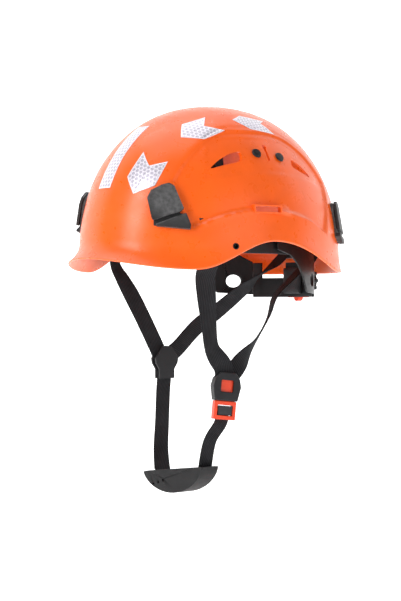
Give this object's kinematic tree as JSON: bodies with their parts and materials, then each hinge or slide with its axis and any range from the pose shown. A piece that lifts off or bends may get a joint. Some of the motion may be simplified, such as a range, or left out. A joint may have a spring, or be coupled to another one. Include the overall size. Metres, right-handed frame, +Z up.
{
  "type": "arborist helmet",
  "caption": "Climbing and tree-work helmet: vented hard shell with a ratchet headband, lamp clips, reflective film and a chin strap with a side-release buckle.",
  "frame": {"origin": "centre of the head opening, level with the lowest points of the shell's side rim", "axes": "+Z up to the crown, -Y to the brim at the front, +X to the wearer's left"},
  "size_m": [0.2144, 0.288, 0.3664],
  "materials": {
    "shell": "smooth glossy moulded orange",
    "reflective_film": "prismatic retroreflective film with a fine cell pattern",
    "clip_plastic": "fine matte grain",
    "webbing": "ribbed woven polyester webbing",
    "pad_fabric": "brushed knit over foam",
    "orange_plastic": "satin moulded orange",
    "cup_rubber": "matte moulded rubber",
    "steel": "zinc plated",
    "buckle_plastic": "satin grain",
    "nylon": "plain",
    "harness_plastic": "semi-gloss moulded black"
  },
  "bodies": {
    "helmet": {"shell_front": "shell", "shell_rear": "shell", "shell_seat_left": "shell", "shell_seat_right": "shell", "stripe_film": "reflective_film", "chevrons_left": "reflective_film", "chevrons_right": "reflective_film", "peg_left_front": "harness_plastic", "peg_left_rear": "harness_plastic", "peg_right_front": "harness_plastic", "peg_right_rear": "harness_plastic", "bushing_left": "harness_plastic", "bushing_right": "harness_plastic", "muff_sleeve_left": "harness_plastic", "muff_sleeve_right": "harness_plastic", "clip_base_left_front": "clip_plastic", "clip_base_left_rear": "clip_plastic", "clip_base_right_front": "clip_plastic", "clip_base_right_rear": "clip_plastic", "headband": "harness_plastic", "brow_pad": "pad_fabric", "key_left_front": "harness_plastic", "key_left_rear": "harness_plastic", "key_right_front": "harness_plastic", "key_right_rear": "harness_plastic", "crown_strap_one": "webbing", "crown_strap_two": "webbing", "crown_pad": "pad_fabric", "anchor_left_front": "harness_plastic", "anchor_left_rear": "harness_plastic", "anchor_right_front": "harness_plastic", "anchor_right_rear": "harness_plastic", "strap_front_left": "webbing", "strap_rear_left": "webbing", "strap_front_right": "webbing", "strap_rear_right": "webbing", "divider_front": "buckle_plastic", "divider_back": "buckle_plastic", "buckle_socket": "buckle_plastic"},
    "cradle": {"cradle_arm_left": "harness_plastic", "cradle_arm_right": "harness_plastic", "nape_plate": "harness_plastic", "nape_pad": "pad_fabric", "ratchet_housing": "orange_plastic"},
    "knob_set": {"knob": "harness_plastic", "pinion": "nylon", "knob_screw": "steel"},
    "left_rack": {"rack_left": "nylon"},
    "right_rack": {"rack_right": "nylon"},
    "chin_set": {"strap_lower_right": "webbing", "strap_lower_left": "webbing", "chin_cup": "cup_rubber", "buckle_plug": "orange_plastic", "plug_loop": "webbing"},
    "button": {"release_button": "orange_plastic"},
    "tab_left_front": {"clip_tab_left_front": "clip_plastic"},
    "tab_left_rear": {"clip_tab_left_rear": "clip_plastic"},
    "tab_right_front": {"clip_tab_right_front": "clip_plastic"},
    "tab_right_rear": {"clip_tab_right_rear": "clip_plastic"}
  },
  "joints": [
    {"name": "nape_slide", "type": "slide", "parent": "helmet", "child": "cradle", "axis": [0, -1, 0], "range_m": [0, 0.008]},
    {"name": "knob_turn", "type": "hinge", "parent": "cradle", "child": "knob_set", "pos_m": [0, 0.115, -0.007], "axis": [0, -1, 0], "range_deg": [0, 80.5]},
    {"name": "rack_left_slide", "type": "slide", "parent": "cradle", "child": "left_rack", "axis": [1, 0, 0], "range_m": [-0.0061, 0]},
    {"name": "rack_right_slide", "type": "slide", "parent": "cradle", "child": "right_rack", "axis": [1, 0, 0], "range_m": [0, 0.0061]},
    {"name": "chin_strap_swing", "type": "hinge", "parent": "helmet", "child": "chin_set", "pos_m": [-0.062, -0.011, -0.106], "axis": [0, 0.994, -0.1093], "range_deg": [0, 80]},
    {"name": "release_press", "type": "slide", "parent": "chin_set", "child": "button", "axis": [-0.9397, 0.3399, -0.0376], "range_m": [0, 0.0015], "stiffness_N_per_m": 1500},
    {"name": "clip_left_front_lift", "type": "hinge", "parent": "helmet", "child": "tab_left_front", "pos_m": [0.06474, -0.09882, 0.07513], "axis": [-0.6833, -0.7302, 0], "range_deg": [0, 12], "stiffness_Nm_per_rad": 0.5},
    {"name": "clip_left_rear_lift", "type": "hinge", "parent": "helmet", "child": "tab_left_rear", "pos_m": [0.06893, 0.09769, 0.06717], "axis": [0.6572, -0.7537, 0], "range_deg": [0, 12], "stiffness_Nm_per_rad": 0.5},
    {"name": "clip_right_front_lift", "type": "hinge", "parent": "helmet", "child": "tab_right_front", "pos_m": [-0.06474, -0.09882, 0.07513], "axis": [-0.6833, 0.7302, 0], "range_deg": [0, 12], "stiffness_Nm_per_rad": 0.5},
    {"name": "clip_right_rear_lift", "type": "hinge", "parent": "helmet", "child": "tab_right_rear", "pos_m": [-0.06893, 0.09769, 0.06717], "axis": [0.6572, 0.7537, 0], "range_deg": [0, 12], "stiffness_Nm_per_rad": 0.5}
  ],
  "couplings": [
    {"joint": "knob_turn", "follows": "nape_slide", "rad_per_m": 174.53},
    {"joint": "rack_left_slide", "follows": "nape_slide", "ratio": -0.75},
    {"joint": "rack_right_slide", "follows": "nape_slide", "ratio": 0.75}
  ]
}
